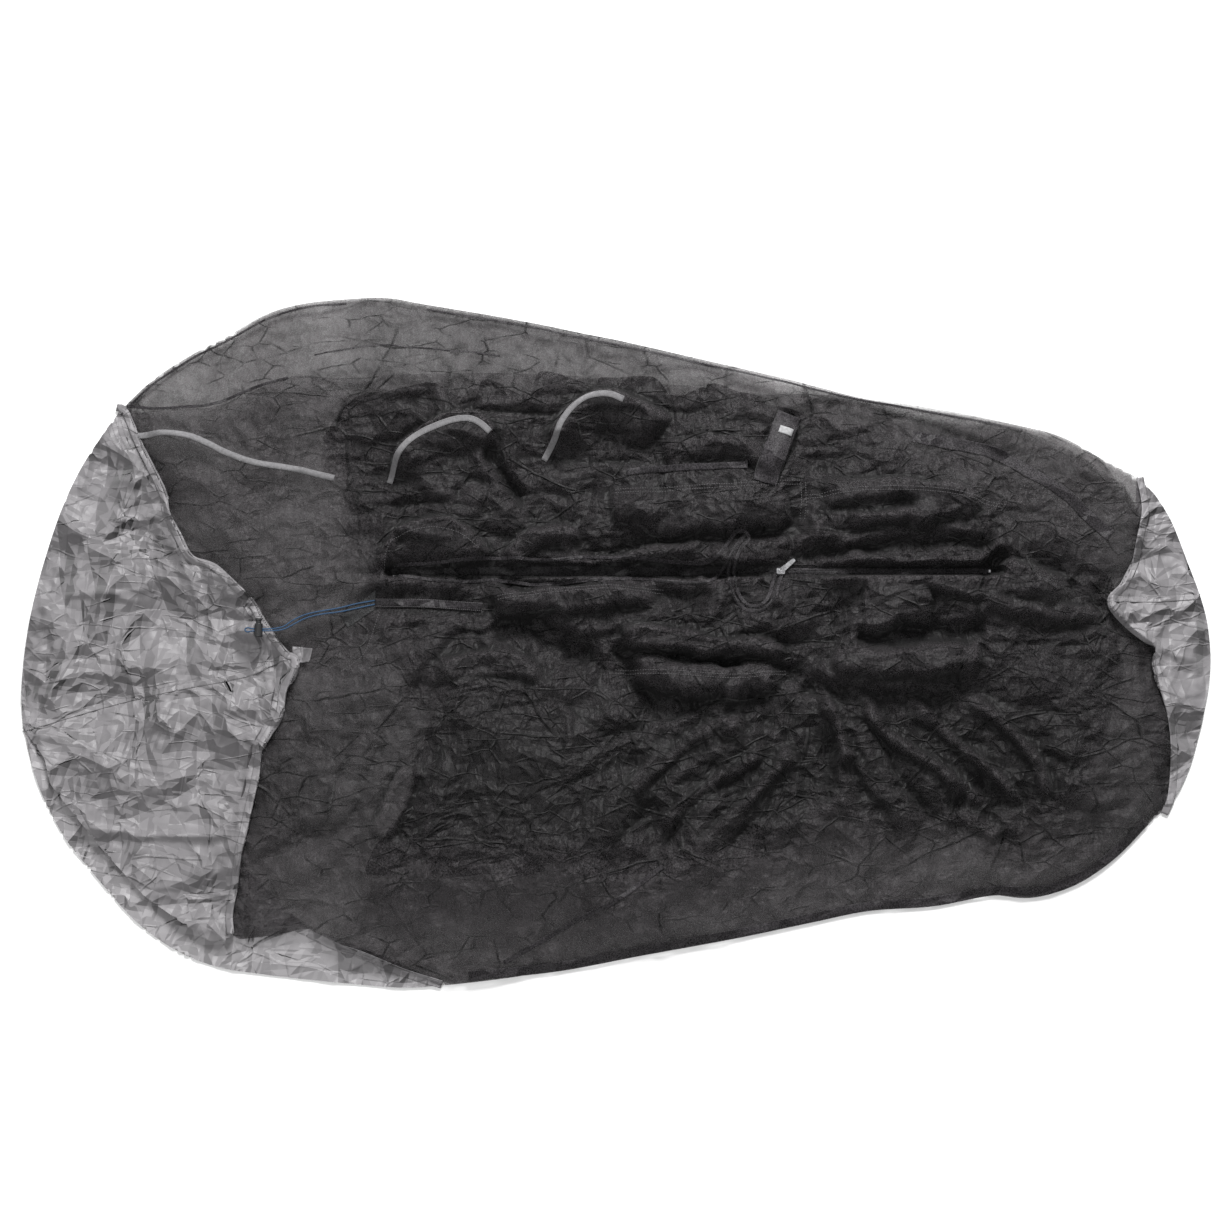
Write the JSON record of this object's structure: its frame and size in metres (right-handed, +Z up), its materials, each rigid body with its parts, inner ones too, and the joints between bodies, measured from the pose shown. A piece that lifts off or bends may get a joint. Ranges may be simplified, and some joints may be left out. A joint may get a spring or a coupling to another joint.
{
  "type": "mummy sleeping bag",
  "caption": "Unpadded mummy-shaped sleeping bag of sheer dark net with grey nylon head and foot ends, a zip, and a drawcord with a barrel lock, lying loosely collapsed.",
  "frame": {"origin": "middle of the bag's outline, at the floor it lies on", "axes": "+X along the bag towards the foot, +Y towards the far side seam, +Z up"},
  "size_m": [2.0489, 1.198, 0.082],
  "materials": {
    "net_black": "sheer knitted insect net, matt",
    "nylon_grey": "crinkled coated nylon, satin",
    "tape_black": "woven tape, matt",
    "binding_grey": "grosgrain, matt",
    "zip_black": "nylon coil",
    "slider_metal": "plated zinc, polished",
    "cord_blue": "braided cord",
    "lock_black": "moulded plastic",
    "spring_steel": "steel wire"
  },
  "bodies": {
    "bag": {"floor_net": "net_black", "hood_floor": "nylon_grey", "foot_floor": "nylon_grey", "top_net_far": "net_black", "top_net_near": "net_black", "net_margin_far": "net_black", "net_margin_near": "net_black", "gathers_far": "net_black", "gathers_near": "net_black", "hood_margin_far": "nylon_grey", "hood_margin_near": "nylon_grey", "foot_margin_far": "nylon_grey", "foot_margin_near": "nylon_grey", "hood_gore_far": "nylon_grey", "hood_gore_near": "nylon_grey", "foot_gore_far": "nylon_grey", "foot_gore_near": "nylon_grey", "hood_hem": "nylon_grey", "hood_hem_near": "nylon_grey", "foot_hem_far": "nylon_grey", "foot_hem_near": "nylon_grey", "hem_tab": "nylon_grey", "seam_binding": "binding_grey", "strap": "tape_black", "strap_label": "tape_black", "flap_strip": "tape_black", "mesh_tab": "net_black", "cord_channel": "tape_black", "zip_tape_far": "tape_black", "zip_tape_near": "tape_black", "zip_coil_far": "zip_black", "zip_coil_near": "zip_black", "zip_stop_foot": "slider_metal", "zip_stops_head": "slider_metal", "drawcord": "cord_blue"},
    "slider": {"zip_slider": "slider_metal"},
    "pull": {"zip_pull": "slider_metal"},
    "lock": {"lock_body": "lock_black", "lock_spring": "spring_steel"},
    "button": {"lock_button": "lock_black"}
  },
  "joints": [
    {"name": "zip_slide", "type": "slide", "parent": "bag", "child": "slider", "axis": [1, 0, 0], "range_m": [-0.655, 0.349]},
    {"name": "pull_flip", "type": "hinge", "parent": "slider", "child": "pull", "pos_m": [0.283, 0.112, 0.0342], "axis": [0.6428, -0.766, 0], "range_deg": [0, 175]},
    {"name": "lock_slide", "type": "slide", "parent": "bag", "child": "lock", "axis": [1, 0, 0], "range_m": [0, 0.02]},
    {"name": "button_press", "type": "slide", "parent": "lock", "child": "button", "axis": [0, -1, 0], "range_m": [0, 0.004], "stiffness_N_per_m": 400, "springref_m": -0.002, "deforming": ["lock_spring"]}
  ]
}
